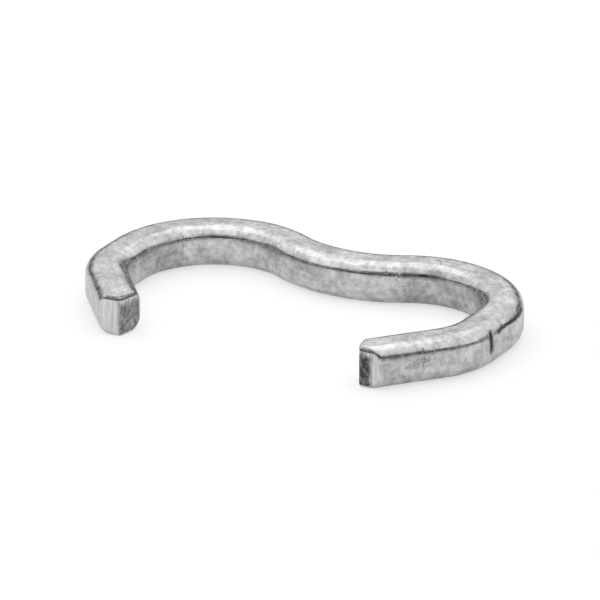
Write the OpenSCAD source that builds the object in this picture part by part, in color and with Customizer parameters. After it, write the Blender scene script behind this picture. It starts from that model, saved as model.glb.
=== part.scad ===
// Hog ring: one length of zinc-coated steel wire, bent into an M-shaped open ring.
// It lies flat, with the crown towards +Y, the mouth towards -Y and its thickness along Z.
// All sizes are in millimetres.

/* [Wire] */
// Width of the wire, measured in the plane of the ring
wire_w = 2.1; // [1.4:0.05:3]
// Thickness of the wire, measured along the axis of the ring
wire_t = 2.1; // [1.4:0.05:3]
// Radius of the wire's four rounded corners
corner_r = 0.65; // [0.2:0.05:0.95]

/* [Crown] */
// Width of the open ring over its two lobes
ring_w = 22; // [17:0.5:30]
// Radius of each lobe, along the middle of the wire
lobe_r = 4.6; // [3:0.1:6]
// Angle through which the wire turns between the middle of the dent and each lobe
dent_turn = 28.5; // [15:0.5:40]

/* [Legs] */
// Straight length of each leg below its lobe
shank_len = 1.4; // [0.2:0.1:5]
// Radius of the inward bend of each leg, along the middle of the wire
bend_r = 3.6; // [1.8:0.1:6]
// Angle through which each leg is bent inwards
bend_angle = 40; // [10:1:60]
// Length of each leg from its inward bend to the end of its point
toe_len = 4.1; // [2:0.1:6]

/* [Points] */
// Angle between the two sheared faces of each point
point_angle = 104; // [60:1:140]
// Radius of the blunt ridge where the two sheared faces meet
point_r = 0.3; // [0.1:0.05:0.6]
// Distance of the ridge from the middle of the wire, towards the outside of the ring
point_shift = 0.1; // [0:0.05:0.4]

/* [Hidden] */
$fn = 96;

// The corners of the wire can't be rounder than the wire itself
wire_corner = min(corner_r, 0.48 * min(wire_w, wire_t));
half_w = wire_w / 2;

// The dent is the arc that runs smoothly into both lobes. Heights are counted from the
// middle of the lobes, where the ring is widest.
lobe_x = ring_w / 2 - half_w - lobe_r;
dent_r = lobe_x / sin(dent_turn) - lobe_r;
dent_y = (lobe_r + dent_r) * cos(dent_turn) - dent_r;
// Height at which the toe starts, after the inward bend
toe_y = -shank_len - bend_r * sin(bend_angle);

// The two sheared faces would meet at a sharp edge, which the blunt ridge rounds off
point_half = point_angle / 2;
sharp_len = toe_len - point_r + point_r / sin(point_half);
shoulder_len = sharp_len - (half_w - point_shift) / tan(point_half);

// The ring reaches lowest at the outer shoulder of its points, or at their ridges
shoulder_y = toe_y - shoulder_len * cos(bend_angle) - half_w * sin(bend_angle);
ridge_y = toe_y - (toe_len - point_r) * cos(bend_angle) - point_shift * sin(bend_angle) - point_r;
mouth_y = min(shoulder_y, ridge_y);
crown_y = lobe_r + half_w;
middle_y = (crown_y + mouth_y) / 2;

// Section of the wire: a square with flat sides and rounded corners, centred on its own middle
module wire_section() {
    flat_w = wire_w - 2 * wire_corner;
    flat_t = wire_t - 2 * wire_corner;
    square([flat_w, wire_t], center = true);
    square([wire_w, flat_t], center = true);
    for (x = [-1, 1], y = [-1, 1])
        translate([x * flat_w / 2, y * flat_t / 2]) circle(r = wire_corner);
}

// The wire is bent stretch by stretch. Each stretch below starts at the origin and runs
// towards +Y, and its children are the next stretch, which starts where this one ends.

// A straight stretch of wire
module straight(length) {
    rotate([-90, 0, 0]) linear_extrude(height = length) wire_section();
    translate([0, length]) children();
}

// An arc of wire about the Z axis, from the +X axis counter-clockwise, cut square at its far end
module arc(radius, angle) {
    spare = 5;
    reach = 2 * (radius + wire_w);
    difference() {
        rotate_extrude(angle = angle + spare) translate([radius, 0]) wire_section();
        rotate([0, 0, angle]) translate([0, 0, -reach / 2]) cube(reach);
    }
}

// A stretch that turns to the left, towards -X
module left_bend(radius, angle) {
    translate([-radius, 0]) {
        arc(radius, angle);
        rotate([0, 0, angle]) translate([radius, 0]) children();
    }
}

// A stretch that turns to the right, towards +X
module right_bend(radius, angle) {
    mirror([1, 0, 0]) left_bend(radius, angle) mirror([1, 0, 0]) children();
}

// The last straight stretch, cut by two sheared faces that meet in a blunt ridge along Z.
// The outside of the ring is towards -X here.
module toe() {
    reach = 2 * wire_w;
    back = sharp_len - reach / tan(point_half);
    tangent_x = point_r * cos(point_half);
    tangent_y = toe_len - point_r + point_r * sin(point_half);
    intersection() {
        straight(toe_len + wire_w);
        linear_extrude(height = 2 * wire_t, center = true)
            translate([-point_shift, 0]) {
                polygon([[-tangent_x, tangent_y], [tangent_x, tangent_y], [reach, back],
                         [reach, -reach], [-reach, -reach], [-reach, back]]);
                translate([0, toe_len - point_r]) circle(r = point_r);
            }
    }
}

// The half of the ring on the +X side: half the dent, the lobe, the shank, the bend and the toe
module half_ring() {
    rotate([0, 0, -90])
        left_bend(dent_r, dent_turn)
        right_bend(lobe_r, 90 + dent_turn)
        straight(shank_len)
        right_bend(bend_r, bend_angle)
        toe();
}

module ring() {
    color("silver")
        translate([0, dent_y - middle_y, wire_t / 2]) {
            half_ring();
            mirror([1, 0, 0]) half_ring();
        }
}

ring();
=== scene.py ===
import math

import bmesh
import bpy
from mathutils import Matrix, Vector


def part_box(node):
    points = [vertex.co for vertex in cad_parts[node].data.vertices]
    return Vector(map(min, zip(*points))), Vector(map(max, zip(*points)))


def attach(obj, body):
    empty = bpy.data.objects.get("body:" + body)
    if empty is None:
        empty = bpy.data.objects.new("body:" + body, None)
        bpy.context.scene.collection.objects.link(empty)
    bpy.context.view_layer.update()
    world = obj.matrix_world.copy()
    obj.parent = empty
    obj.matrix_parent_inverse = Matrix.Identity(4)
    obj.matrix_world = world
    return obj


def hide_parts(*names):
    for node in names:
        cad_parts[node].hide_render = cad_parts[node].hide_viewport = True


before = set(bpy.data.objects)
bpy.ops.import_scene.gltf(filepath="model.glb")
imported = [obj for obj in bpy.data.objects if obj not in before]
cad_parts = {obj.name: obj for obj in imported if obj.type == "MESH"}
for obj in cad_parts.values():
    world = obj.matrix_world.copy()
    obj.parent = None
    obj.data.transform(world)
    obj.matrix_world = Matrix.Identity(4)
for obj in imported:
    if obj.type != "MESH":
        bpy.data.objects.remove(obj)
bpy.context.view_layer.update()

# Wire ring
# One length of zinc-coated steel wire, drawn to a rounded square and bent cold to an open M.
# A V-shaped punch sheared both ends, so each toe ends in a blunt wedge with bare steel on it.
MM = 0.001
ring_low, ring_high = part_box("ring")
wire_w = 2.1 * MM
corner_r = 0.65 * MM
lobe_r = 4.6 * MM
dent_turn = math.radians(28.5)
shank_len = 1.4 * MM
bend_r = 3.6 * MM
bend_angle = math.radians(40)
toe_len = 4.1 * MM
point_half = math.radians(52)
point_r = 0.3 * MM
point_shift = 0.1 * MM
rim_r = 0.15 * MM
uneven = 0.022 * MM
wave_size = 1.6 * MM

# Spacing of the points along the wire and round it, and the angles that tell its edges apart
STEP = 0.1 * MM
TINY = 0.0005 * MM
CORNER_STEPS = 10
RIM_STEPS = 6
FLAT_CUTS = 6
SAME_FLAT = math.radians(1)
RIM_ANGLE = math.radians(32)
SMOOTH_ANGLE = math.radians(40)
FLATS_FIRST = 90

wire_t = ring_high[2] - ring_low[2]
half_w = wire_w / 2
mid_z = ring_low[2] + wire_t / 2
shank_x = ring_high[0] - half_w
lobe_x = shank_x - lobe_r
lobe_y = ring_high[1] - half_w - lobe_r
dent_r = lobe_x / math.sin(dent_turn) - lobe_r
dent_centre_y = lobe_y + (lobe_r + dent_r) * math.cos(dent_turn)
lobe_turn = math.pi / 2 + dent_turn
bend_x = shank_x - bend_r
bend_y = lobe_y - shank_len
toe_way = Vector((-math.sin(bend_angle), -math.cos(bend_angle), 0))
toe_out = Vector((math.cos(bend_angle), -math.sin(bend_angle), 0))
toe_start = Vector((bend_x, bend_y, mid_z)) + toe_out * bend_r
sharp_len = toe_len - point_r + point_r / math.sin(point_half)
rim_room = 4 * rim_r
plain_len = sharp_len - half_w / math.tan(point_half) - rim_room
spare_len = 2 * wire_w
apex = toe_start + toe_way * sharp_len + toe_out * point_shift


def pick(kind, test):
    """In edit mode, selects the vertices or edges that pass the test, and nothing else."""
    bpy.ops.mesh.select_all(action="DESELECT")
    bpy.ops.mesh.select_mode(type=kind)
    edited = bmesh.from_edit_mesh(bpy.context.edit_object.data)
    for part in edited.verts if kind == "VERT" else edited.edges:
        part.select_set(test(part))
    edited.select_flush_mode()
    bmesh.update_edit_mesh(bpy.context.edit_object.data)


def bend_wire(radius, angle, centre_x, centre_y):
    """Spins the wire's open end about an upright axis, to the right if the angle is positive."""
    steps = round(radius * abs(angle) / STEP)
    bpy.ops.mesh.spin(steps=steps, angle=angle, center=(centre_x, centre_y, mid_z), axis=(0, 0, 1))


def run_wire(length, way, steps=0):
    """Extrudes the wire's open end straight on."""
    steps = steps or round(length / STEP)
    for _ in range(steps):
        bpy.ops.mesh.extrude_region_move(TRANSFORM_OT_translate={"value": way * (length / steps)})


def in_toe(vert):
    """Whether a vertex of the half ring belongs to its last straight stretch."""
    on = vert.co - toe_start
    return on.dot(toe_way) > -TINY and abs(on.dot(toe_out)) < wire_w


def in_point(vert):
    """Whether a vertex of the half ring belongs to the part of the toe that the shear cuts."""
    return in_toe(vert) and (vert.co - toe_start).dot(toe_way) > plain_len - TINY


def along_wire(co):
    """How far a point lies along the wire from the dent, towards the outside, and above mid height."""
    x, y, z = abs(co.x), co.y, co.z
    lobe_start = dent_r * dent_turn
    shank_start = lobe_start + lobe_r * lobe_turn
    bend_start = shank_start + shank_len
    bend_now = math.atan2(bend_y - y, x - bend_x)
    dent_now = math.atan2(x, dent_centre_y - y)
    if dent_now < dent_turn and y > lobe_y:
        run = dent_r * dent_now
        outwards = dent_r - math.hypot(x, dent_centre_y - y)
    elif y >= lobe_y:
        run = lobe_start + lobe_r * (lobe_turn - math.atan2(y - lobe_y, x - lobe_x))
        outwards = math.hypot(x - lobe_x, y - lobe_y) - lobe_r
    elif y >= bend_y:
        run = shank_start + lobe_y - y
        outwards = x - shank_x
    elif bend_now < bend_angle:
        run = bend_start + bend_r * bend_now
        outwards = math.hypot(x - bend_x, y - bend_y) - bend_r
    else:
        on = Vector((x, y, mid_z)) - toe_start
        run = bend_start + bend_r * bend_angle + on.dot(toe_way)
        outwards = on.dot(toe_out)
    return math.copysign(run, co.x), outwards, z - mid_z


bpy.ops.object.select_all(action="DESELECT")
dent_place = (0, dent_centre_y - dent_r, mid_z)
bpy.ops.mesh.primitive_plane_add(size=1, location=dent_place, rotation=(0, math.pi / 2, 0))
ring = bpy.context.object
ring.name = "ring_wire"
ring.scale = (wire_t, wire_w, 1)
bpy.ops.object.transform_apply(location=True, rotation=True, scale=True)
bpy.ops.object.mode_set(mode="EDIT")
bpy.ops.mesh.select_all(action="SELECT")
bpy.ops.mesh.bevel(offset=corner_r, segments=CORNER_STEPS, profile=0.5, affect="VERTICES")
# Only the wire's outline stays, with more points on its flats, and it is drawn out into half the ring
bpy.ops.mesh.delete(type="ONLY_FACE")
pick("EDGE", lambda edge: edge.calc_length() > corner_r / 2)
bpy.ops.mesh.subdivide(number_cuts=FLAT_CUTS)
bpy.ops.mesh.select_all(action="SELECT")
bend_wire(dent_r, -dent_turn, 0, dent_centre_y)
bend_wire(lobe_r, lobe_turn, lobe_x, lobe_y)
run_wire(shank_len, Vector((0, -1, 0)))
bend_wire(bend_r, bend_angle, bend_x, bend_y)
run_wire(plain_len, toe_way)
run_wire(spare_len, toe_way, steps=1)

# The shear leaves two faces, a blunt ridge between them and a soft rim round them
for side in (1, -1):
    face_way = toe_way * math.sin(point_half) + toe_out * side * math.cos(point_half)
    pick("VERT", in_toe)
    bpy.ops.mesh.bisect(plane_co=apex, plane_no=face_way, use_fill=True, clear_outer=True, threshold=TINY)
pick("VERT", in_point)
bpy.ops.mesh.dissolve_limited(angle_limit=SAME_FLAT)
bpy.ops.mesh.select_all(action="DESELECT")
bpy.ops.mesh.select_mode(type="EDGE")
bpy.ops.mesh.edges_select_sharp(sharpness=RIM_ANGLE)
bpy.ops.object.mode_set(mode="OBJECT")
ridge_width = point_r / math.tan(point_half)
ridge_reach = 10 * TINY
roundness = ring.data.attributes.new("bevel_weight_edge", "FLOAT", "EDGE")
for edge in ring.data.edges:
    ends = [ring.data.vertices[i].co for i in edge.vertices]
    is_ridge = all((end - apex).to_2d().length < ridge_reach for end in ends)
    roundness.data[edge.index].value = edge.select * (1 if is_ridge else rim_r / ridge_width)
bpy.ops.object.modifier_add(type="BEVEL")
ring.modifiers["Bevel"].limit_method = "WEIGHT"
ring.modifiers["Bevel"].width = ridge_width
ring.modifiers["Bevel"].segments = RIM_STEPS
ring.modifiers["Bevel"].use_clamp_overlap = False
bpy.ops.object.modifier_apply(modifier="Bevel")
least_forward = 0.5
most_tilt = 0.2
for face in ring.data.polygons:
    forward = face.normal.dot(toe_way) > least_forward
    upright = abs(face.normal.z) < most_tilt
    at_toe = in_toe(ring.data.vertices[face.vertices[0]])
    face.material_index = int(forward and upright and at_toe)

bpy.ops.object.modifier_add(type="MIRROR")
ring.modifiers["Mirror"].merge_threshold = TINY
bpy.ops.object.modifier_apply(modifier="Mirror")
bpy.ops.object.mode_set(mode="EDIT")
bpy.ops.mesh.select_all(action="SELECT")
bpy.ops.mesh.remove_doubles(threshold=TINY)
bpy.ops.mesh.normals_make_consistent(inside=False)
bpy.ops.object.mode_set(mode="OBJECT")
place = ring.data.attributes.new("along_wire", "FLOAT_VECTOR", "POINT")
for vert in ring.data.vertices:
    place.data[vert.index].vector = along_wire(vert.co)

# Bending dies leave the wire a little uneven
waves = bpy.data.textures.new("die_waves", "CLOUDS")
waves.noise_scale = wave_size
waves.noise_depth = 2
bpy.ops.object.modifier_add(type="DISPLACE")
ring.modifiers["Displace"].texture = waves
ring.modifiers["Displace"].texture_coords = "LOCAL"
ring.modifiers["Displace"].strength = uneven
bpy.ops.object.modifier_apply(modifier="Displace")
bpy.ops.object.shade_smooth_by_angle(angle=SMOOTH_ANGLE)
bpy.ops.object.modifier_add(type="WEIGHTED_NORMAL")
ring.modifiers["WeightedNormal"].keep_sharp = True
ring.modifiers["WeightedNormal"].weight = FLATS_FIRST
bpy.ops.object.modifier_apply(modifier="WeightedNormal")

# Sockets of a Mix node that mixes colours
MIX_FACTOR = 0
MIX_FIRST = 6
MIX_SECOND = 7
MIX_RESULT = 2


def put(tree, kind, inputs=(), **settings):
    """Adds a shader node with its settings, and gives its inputs their values or links, by name or number."""
    node = tree.nodes.new("ShaderNode" + kind)
    for name, value in settings.items():
        setattr(node, name, value)
    for name, value in dict(inputs).items():
        if isinstance(value, bpy.types.NodeSocket):
            tree.links.new(value, node.inputs[name])
        else:
            node.inputs[name].default_value = value
    return node


def maths(tree, operation, *values):
    """A Math node's result."""
    return put(tree, "Math", enumerate(values), operation=operation).outputs[0]


def times(tree, first, second):
    """The product of two values."""
    return maths(tree, "MULTIPLY", first, second)


def add(tree, total, value, share):
    """A total with a share of one more value in it."""
    return maths(tree, "MULTIPLY_ADD", value, share, total)


def fade(tree, value, start, end, low=0.0, high=1.0):
    """A value that goes smoothly from low to high while the input goes from start to end."""
    levels = {"Value": value, "From Min": start, "From Max": end, "To Min": low, "To Max": high}
    return put(tree, "MapRange", levels, interpolation_type="SMOOTHSTEP").outputs[0]


def band(tree, value, middle, reach, soft):
    """1 where the input lies within reach of the middle, 0 elsewhere, and soft between the two."""
    away = maths(tree, "ABSOLUTE", maths(tree, "SUBTRACT", value, middle))
    return fade(tree, away, reach + soft, reach)


def far_off(tree, value, middle, reach):
    """The square of the input's distance from the middle, counted in reaches."""
    return maths(tree, "POWER", maths(tree, "MULTIPLY_ADD", value, 1 / reach, -middle / reach), 2.0)


def blend(tree, factor, first, second):
    """A colour between two others."""
    colours = {MIX_FACTOR: factor, MIX_FIRST: first, MIX_SECOND: second}
    return put(tree, "Mix", colours, data_type="RGBA").outputs[MIX_RESULT]


def noise(tree, place, stretch, detail=3.0, rough=0.6):
    """A noise texture's value, with as many grains per millimetre along each axis as stretch says."""
    grains = put(tree, "VectorMath", {0: place, 1: stretch}, operation="MULTIPLY").outputs[0]
    settings = {"Vector": grains, "Scale": 1.0, "Detail": detail, "Roughness": rough}
    return put(tree, "TexNoise", settings).outputs[0]


def new_group(name, outputs):
    """A node group that takes a place in millimetres and gives the named values."""
    group = bpy.data.node_groups.new(name, "ShaderNodeTree")
    group.interface.new_socket("Place", in_out="INPUT", socket_type="NodeSocketVector")
    for output in outputs:
        group.interface.new_socket(output, in_out="OUTPUT", socket_type="NodeSocketFloat")
    start = group.nodes.new("NodeGroupInput").outputs["Place"]
    return group, start, group.nodes.new("NodeGroupOutput")


def use_group(tree, group, place):
    """A node that brings a node group into a material."""
    return put(tree, "Group", {"Place": place}, node_tree=group).outputs


def metal_base(material):
    """Gives a material's tree, its shader, and the two places in millimetres that its patterns start from."""
    material.use_nodes = True
    tree = material.node_tree
    shader = tree.nodes["Principled BSDF"]
    shader.inputs["Metallic"].default_value = 1.0
    wire = put(tree, "Attribute", attribute_name="along_wire").outputs["Vector"]
    wire = put(tree, "VectorMath", {0: wire, "Scale": 1 / MM}, operation="SCALE").outputs[0]
    solid = put(tree, "TexCoord").outputs["Object"]
    solid = put(tree, "VectorMath", {0: solid, "Scale": 1 / MM}, operation="SCALE").outputs[0]
    return tree, shader, wire, solid


def finish_metal(material, shader, colour, rough, height, depth):
    """Joins a material's colour, roughness and relief to its shader, and gives the material to the ring."""
    tree = material.node_tree
    relief = put(tree, "Bump", {"Height": height, "Distance": depth, "Strength": 1.0})
    tree.links.new(colour, shader.inputs["Base Color"])
    tree.links.new(rough, shader.inputs["Roughness"])
    tree.links.new(relief.outputs[0], shader.inputs["Normal"])
    ring.data.materials.append(material)


# Fine lines that the drawing die leaves along the wire
broad_lines = (0.22, 5.5, 5.5)
fine_lines = (0.5, 19, 19)
lines_group, start, end = new_group("drawn_lines", ["Lines"])
broad = noise(lines_group, start, broad_lines)
fine = noise(lines_group, start, fine_lines, detail=2)
mean = times(lines_group, maths(lines_group, "ADD", broad, fine), 0.5)
lines_group.links.new(fade(lines_group, mean, 0.3, 0.7), end.inputs["Lines"])

# Dull patches and grain of the zinc
patch_grains = (1.1, 1.1, 1.1)
zinc_grains = (3.2, 3.2, 3.2)
bloom_group, start, end = new_group("zinc_bloom", ["Patches", "Grain"])
patches = noise(bloom_group, start, patch_grains, detail=4)
grain = noise(bloom_group, start, zinc_grains, detail=5)
bloom_group.links.new(fade(bloom_group, patches, 0.33, 0.67), end.inputs["Patches"])
bloom_group.links.new(fade(bloom_group, grain, 0.35, 0.65), end.inputs["Grain"])

# Small pits and short scratches, scattered: some of the cells of a pattern hold one each
pits_per_mm = 1.7
pit_rarity = 0.55
pit_size = 0.16
ragged_by = (0.16, 0.16, 0.16)
ragged_per_mm = 6.0
scratches_per_mm = 0.45
scratch_rarity = 0.72
scratch_size = 0.12
scratch_turns = ((0.5, (0.35, 9, 9)), (-0.7, (8, 0.4, 8)), (1.1, (0.5, 12, 12)))
nicks_group, start, end = new_group("nicks", ["Pits", "Scratches"])
torn_edge = put(nicks_group, "TexNoise", {"Vector": start, "Scale": ragged_per_mm, "Detail": 2.0})
ragged = {0: torn_edge.outputs["Color"], 1: ragged_by, 2: start}
ragged = put(nicks_group, "VectorMath", ragged, operation="MULTIPLY_ADD").outputs[0]
cell = put(nicks_group, "TexVoronoi", {"Vector": ragged, "Scale": pits_per_mm})
chance = put(nicks_group, "SeparateColor", {0: cell.outputs["Color"]}).outputs[0]
size = fade(nicks_group, chance, pit_rarity, 1.0, 0.0, pit_size)
inside = maths(nicks_group, "SUBTRACT", size, cell.outputs["Distance"])
nicks_group.links.new(fade(nicks_group, inside, -0.02, 0.08), end.inputs["Pits"])
scratches = 0.0
for turn, stretch in scratch_turns:
    turned = put(nicks_group, "VectorRotate", {"Vector": start, "Angle": turn}, rotation_type="Z_AXIS")
    grains = put(nicks_group, "VectorMath", {0: turned.outputs[0], 1: stretch}, operation="MULTIPLY")
    cell = put(nicks_group, "TexVoronoi", {"Vector": grains.outputs[0], "Scale": scratches_per_mm})
    chance = put(nicks_group, "SeparateColor", {0: cell.outputs["Color"]}).outputs[1]
    size = fade(nicks_group, chance, scratch_rarity, 1.0, 0.0, scratch_size)
    inside = maths(nicks_group, "SUBTRACT", size, cell.outputs["Distance"])
    scratches = maths(nicks_group, "MAXIMUM", scratches, fade(nicks_group, inside, 0.0, 0.06))
nicks_group.links.new(scratches, end.inputs["Scratches"])

# Zinc: its colour mixes a dull and a bright grey by the patches, the grain and the drawn lines
zinc_dull = (0.35, 0.35, 0.345, 1)
zinc_bright = (0.88, 0.875, 0.86, 1)
pit_grey = (0.22, 0.215, 0.21, 1)
scratch_grey = (0.36, 0.355, 0.35, 1)
grain_share = 0.4
patch_share = 0.35
line_share = 0.25
pit_cover = 0.6
scratch_cover = 0.4
plain_rough = 0.25
patch_gloss = -0.06
grain_rough = 0.06
grain_rise = 0.2
line_rise = 0.5
pit_drop = -1.2
scratch_drop = -0.8
mark_depth = 0.008 * MM
zinc = bpy.data.materials.new("zinc_coated_wire")
tree, shader, wire, solid = metal_base(zinc)
lines = use_group(tree, lines_group, wire)["Lines"]
bloom = use_group(tree, bloom_group, solid)
nicks = use_group(tree, nicks_group, solid)
parts = put(tree, "SeparateXYZ", {0: wire}).outputs
run = parts[0]
outwards = parts[1]
above = parts[2]
tone = times(tree, bloom["Grain"], grain_share)
tone = add(tree, tone, bloom["Patches"], patch_share)
tone = add(tree, tone, lines, line_share)

# The dies press the inner side duller on two stretches: start, end and how much duller
pressed_stretches = ((3.1, 8.5, 0.3), (-9.8, -13.0, 0.15))
inner_side = fade(tree, outwards, -0.7, -0.95)
from_dent = maths(tree, "ABSOLUTE", run)
for first, last, dulled in pressed_stretches:
    on_leg = times(tree, run, math.copysign(1, first))
    pressed = fade(tree, on_leg, abs(first), abs(first) + 0.15)
    pressed = times(tree, pressed, fade(tree, from_dent, abs(last), abs(last) - 2))
    pressed = times(tree, pressed, inner_side)
    tone = add(tree, tone, pressed, -dulled)
colour = blend(tree, tone, zinc_dull, zinc_bright)
colour = blend(tree, times(tree, nicks["Pits"], pit_cover), colour, pit_grey)
colour = blend(tree, times(tree, nicks["Scratches"], scratch_cover), colour, scratch_grey)
rough = add(tree, plain_rough, bloom["Patches"], patch_gloss)
rough = add(tree, rough, bloom["Grain"], grain_rough)
height = times(tree, bloom["Grain"], grain_rise)
height = add(tree, height, lines, line_rise)
height = add(tree, height, nicks["Pits"], pit_drop)
height = add(tree, height, nicks["Scratches"], scratch_drop)

# Marks of the bending dies: place along the wire, side (1 outer, -1 inner), width and depth
die_marks = (
    (3.1, -1, 0.09, 2.5),
    (14.6, 1, 0.1, 3.5),
    (-5.1, -1, 0.07, 1.2),
    (-9.8, -1, 0.08, 2.4),
    (-9.1, -1, 0.06, 1.6),
    (-13.2, 1, 0.1, 2),
    (18.1, 1, 0.08, 3),
    (17.5, 1, 0.06, 2.4),
    (-16.4, -1, 0.08, 1.6),
    (9.4, 1, 0.07, 1.2),
)
groove_grains = (1.5, 1.5, 2.5)
unsteady = add(tree, run, noise(tree, solid, groove_grains), 0.3)
for at, side, width, depth in die_marks:
    away = maths(tree, "ABSOLUTE", maths(tree, "SUBTRACT", unsteady, at))
    groove = fade(tree, away, width, 0.0, 0.0, depth)
    on_side = fade(tree, times(tree, outwards, side), 0.7, 0.95)
    height = add(tree, height, times(tree, groove, on_side), -1.0)

# Along one outer corner a painted reflection thickens the dark corner line, and it ends in a dark tick down
# the side of the wire
tick_and_reflection_black = (0.06, 0.06, 0.058, 1)
tick_and_reflection_cover = 0.95
tick_and_reflection_rough = 0.2
tick_and_reflection_rise = 2.0
tick_at = 14.8
tick_half_width = 0.13
tick_above = 0.42
tick_half_height = 0.62
reflection_at = 12.9
reflection_half_length = 1.4
reflection_above = 0.78
reflection_half_width = 0.05
shaky_grains = (1.4, 1.4, 1.4)
gap_grains = (1.3, 5, 5)
outer_side = fade(tree, outwards, 0.75, 0.9)
shaky = noise(tree, solid, shaky_grains, detail=4)
shaky_run = add(tree, run, shaky, 0.35)
shaky_above = add(tree, above, shaky, 0.3)
across = far_off(tree, shaky_run, tick_at, tick_half_width)
down = far_off(tree, shaky_above, tick_above, tick_half_height)
tick = fade(tree, maths(tree, "ADD", across, down), 1.2, 0.6)
painted_reflection = band(tree, shaky_run, reflection_at, reflection_half_length, 0.3)
painted_reflection = times(tree, painted_reflection, band(tree, shaky_above, reflection_above, reflection_half_width, 0.1))
painted_reflection = times(tree, painted_reflection, fade(tree, noise(tree, wire, gap_grains), 0.3, 0.44))
tick_and_painted_reflection = times(tree, maths(tree, "MAXIMUM", tick, painted_reflection), outer_side)
# The line along the corner is painted reflection, and it goes into the colour as near-black together with the
# dark tick
colour = blend(tree, times(tree, tick_and_painted_reflection, tick_and_reflection_cover), colour, tick_and_reflection_black)
rough = add(tree, rough, tick_and_painted_reflection, tick_and_reflection_rough)
height = add(tree, height, tick_and_painted_reflection, tick_and_reflection_rise)

# Small dark scuffs near the end of the same leg
scuff_grey = (0.2, 0.198, 0.195, 1)
scuff_cover = 0.75
scuffs_at = 18.2
scuffs_half_length = 0.6
scuffs_above = 0.1
scuffs_half_height = 0.22
scuff_grains = (7, 7, 9)
rubbed = noise(tree, wire, scuff_grains, detail=4, rough=0.75)
scuffs = band(tree, run, scuffs_at, scuffs_half_length, 0.2)
scuffs = times(tree, scuffs, band(tree, above, scuffs_above, scuffs_half_height, 0.1))
scuffs = times(tree, scuffs, fade(tree, rubbed, 0.44, 0.66))
scuffs = times(tree, scuffs, outer_side)
colour = blend(tree, times(tree, scuffs, scuff_cover), colour, scuff_grey)
finish_metal(zinc, shader, colour, rough, height, mark_depth)

# Sheared steel: the punch drags streaks down the face, smears zinc over its top and outer part,
# and tears the rest; the torn steel is painted darker on the right point than on the left, as painted shade
streak_grey = (0.7, 0.695, 0.68, 1)
streak_bright = (0.98, 0.97, 0.955, 1)
torn_dark = (0.1, 0.098, 0.095, 1)
torn_grey = (0.55, 0.545, 0.535, 1)
crease_shadow_black = (0.05, 0.05, 0.048, 1)
crease_shadow_cover = 0.85
torn_rough = 0.52
streak_rough = 0.3
tear_depth = 0.03 * MM
streak_grains = (14, 14, 0.8)
torn_grains = (5, 5, 3.5)
steel = bpy.data.materials.new("sheared_steel")
tree, shader, wire, solid = metal_base(steel)
parts = put(tree, "SeparateXYZ", {0: wire}).outputs
run = parts[0]
outwards = parts[1]
above = parts[2]
streaks = noise(tree, solid, streak_grains, detail=2)
torn = fade(tree, noise(tree, solid, torn_grains, detail=5, rough=0.7), 0.3, 0.7)
top = fade(tree, add(tree, above, streaks, 0.7), 0.75, 1.25)
outer = maths(tree, "ADD", add(tree, outwards, streaks, 0.3), fade(tree, run, -1, 1, 0.1, -0.4))
outer = fade(tree, outer, 0.3, 0.5)
smeared = maths(tree, "MAXIMUM", top, times(tree, outer, 0.85))
metal = blend(tree, fade(tree, streaks, 0.3, 0.7), streak_grey, streak_bright)
# The term along the wire paints the right point's tear darker than the left's: painted shade
shade = maths(tree, "ADD", torn, fade(tree, run, -1, 1, 0.12, -0.35))
bare = blend(tree, shade, torn_dark, torn_grey)
colour = blend(tree, smeared, bare, metal)
# The top edge of the cut is drawn up into a bright lip, with a painted shadow under it as a dark crease
crease_shadow = band(tree, add(tree, above, streaks, 0.12), 0.9, 0.05, 0.04)
# The dark crease under the lip is painted shadow
colour = blend(tree, times(tree, crease_shadow, crease_shadow_cover), colour, crease_shadow_black)
rough = fade(tree, smeared, 0.0, 1.0, torn_rough, streak_rough)
height = blend(tree, smeared, torn, streaks)
finish_metal(steel, shader, colour, rough, height, tear_depth)

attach(ring, "root")
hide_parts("ring")

# Floor
# A pale matt board. The camera and the metal see it white, with the ring's soft shadow on it.
floor_size = 4
board_pale = (0.8, 0.8, 0.79, 1)
board_shaded = (0.6, 0.6, 0.6, 1)
board_glow = 0.58
glossy_share = 0.5
bpy.ops.object.select_all(action="DESELECT")
bpy.ops.mesh.primitive_plane_add(size=floor_size, location=(0, 0, ring_low[2]))
floor = bpy.context.object
floor.name = "floor"
board = bpy.data.materials.new("pale_board")
board.use_nodes = True
tree = board.node_tree
tree.nodes.clear()
path = put(tree, "LightPath").outputs
seen = maths(tree, "MAXIMUM", path["Is Camera Ray"], times(tree, path["Is Glossy Ray"], glossy_share))
plain = put(tree, "BsdfDiffuse", {"Color": board_pale}).outputs[0]
matt = put(tree, "BsdfDiffuse", {"Color": board_shaded}).outputs[0]
glow = put(tree, "Emission", {"Strength": board_glow}).outputs[0]
lifted = put(tree, "AddShader", {0: matt, 1: glow}).outputs[0]
surface = put(tree, "MixShader", {0: seen, 1: plain, 2: lifted}).outputs[0]
put(tree, "OutputMaterial", {"Surface": surface})
floor.data.materials.append(board)

# Dark cards
# A low black wall all round and a taller grey card behind the camera. The camera sees neither:
# they draw the thin dark lines that run along the corners of the metal.
view_azimuth = math.radians(29)
wall_grey = 0.03
wall_radius = 0.8
wall_height = wall_radius * math.tan(math.radians(15))
wall_steps = 96
card_grey = 0.1
card_width = 2.4
card_distance = 0.82
card_height = card_distance * math.tan(math.radians(35))
paper_rough = 0.9


def paint_card(card, name, grey):
    """Gives a card its name and its matt grey, and keeps it out of the camera's sight."""
    paper = bpy.data.materials.new(name + "_paper")
    paper.use_nodes = True
    shader = paper.node_tree.nodes["Principled BSDF"]
    shader.inputs["Base Color"].default_value = (grey, grey, grey, 1)
    shader.inputs["Roughness"].default_value = paper_rough
    card.name = name
    card.data.materials.append(paper)
    card.visible_camera = False


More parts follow.
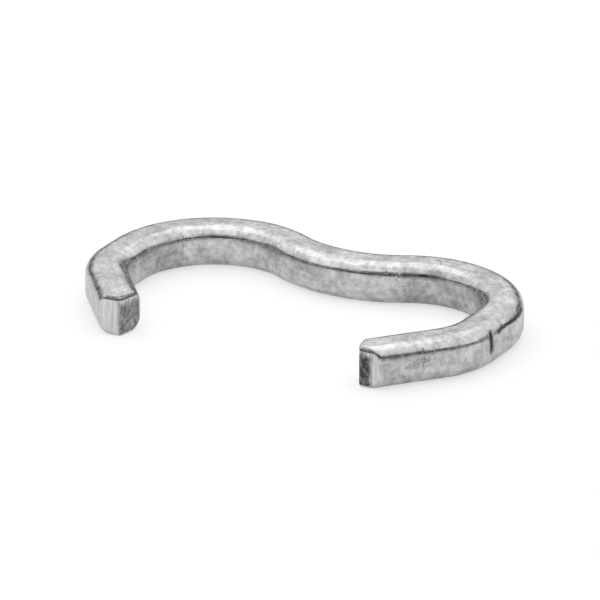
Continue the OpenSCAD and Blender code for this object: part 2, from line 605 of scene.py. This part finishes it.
bpy.ops.object.select_all(action="DESELECT")
bpy.ops.mesh.primitive_cylinder_add(
    vertices=wall_steps,
    radius=wall_radius,
    depth=wall_height,
    end_fill_type="NOTHING",
    location=(0, 0, ring_low[2] + wall_height / 2),
)
paint_card(bpy.context.object, "low_wall", wall_grey)
card_x = card_distance * math.sin(view_azimuth)
card_y = -card_distance * math.cos(view_azimuth)
bpy.ops.mesh.primitive_plane_add(
    size=1,
    rotation=(math.pi / 2, 0, view_azimuth),
    location=(card_x, card_y, ring_low[2] + card_height / 2),
)
bpy.context.object.scale = (card_width, card_height, 1)
bpy.ops.object.transform_apply(location=True, rotation=True, scale=True)
paint_card(bpy.context.object, "tall_card", card_grey)

# Light
# A white tent over the table, and a broad soft lamp from behind on the left.
tent_white = (1, 1, 1, 1)
tent_light = 0.75
tent_seen = 1.0
lamp_size = 0.6
lamp_power = 0.4
lamp_place = Vector((-0.16, 0.14, 0.5))
world = bpy.data.worlds.new("tent")
bpy.context.scene.world = world
world.use_nodes = True
tree = world.node_tree
tree.nodes.clear()
path = put(tree, "LightPath").outputs
seen = maths(tree, "MAXIMUM", path["Is Camera Ray"], path["Is Glossy Ray"])
dim = put(tree, "Background", {"Color": tent_white, "Strength": tent_light}).outputs[0]
white = put(tree, "Background", {"Color": tent_white, "Strength": tent_seen}).outputs[0]
surface = put(tree, "MixShader", {0: seen, 1: dim, 2: white}).outputs[0]
put(tree, "OutputWorld", {"Surface": surface})

lamp_data = bpy.data.lights.new("soft_lamp", "AREA")
lamp_data.shape = "SQUARE"
lamp_data.size = lamp_size
lamp_data.energy = lamp_power
lamp = bpy.data.objects.new("soft_lamp", lamp_data)
bpy.context.scene.collection.objects.link(lamp)
lamp.location = lamp_place
lamp.rotation_euler = (-lamp_place).to_track_quat("-Z", "Y").to_euler()
lamp.visible_camera = False

# Camera
# As in the photo, it looks down on the mouth of the ring from the right, about a third of a metre away.
view_elevation = math.radians(21.5)
view_distance = 0.318
view_lens = 395
nearest = 0.01
farthest = 20
aim = Vector((0.0, -0.0002, mid_z))
camera_data = bpy.data.cameras.new("camera")
camera = bpy.data.objects.new("camera", camera_data)
bpy.context.scene.collection.objects.link(camera)
level = math.cos(view_elevation)
back_x = math.sin(view_azimuth) * level
back_y = -math.cos(view_azimuth) * level
back = Vector((back_x, back_y, math.sin(view_elevation)))
camera.location = aim + back * view_distance
camera.rotation_euler = (-back).to_track_quat("-Z", "Y").to_euler()
camera_data.lens = view_lens
camera_data.clip_start = nearest
camera_data.clip_end = farthest
bpy.context.scene.camera = camera
bpy.context.scene.view_settings.view_transform = "Standard"
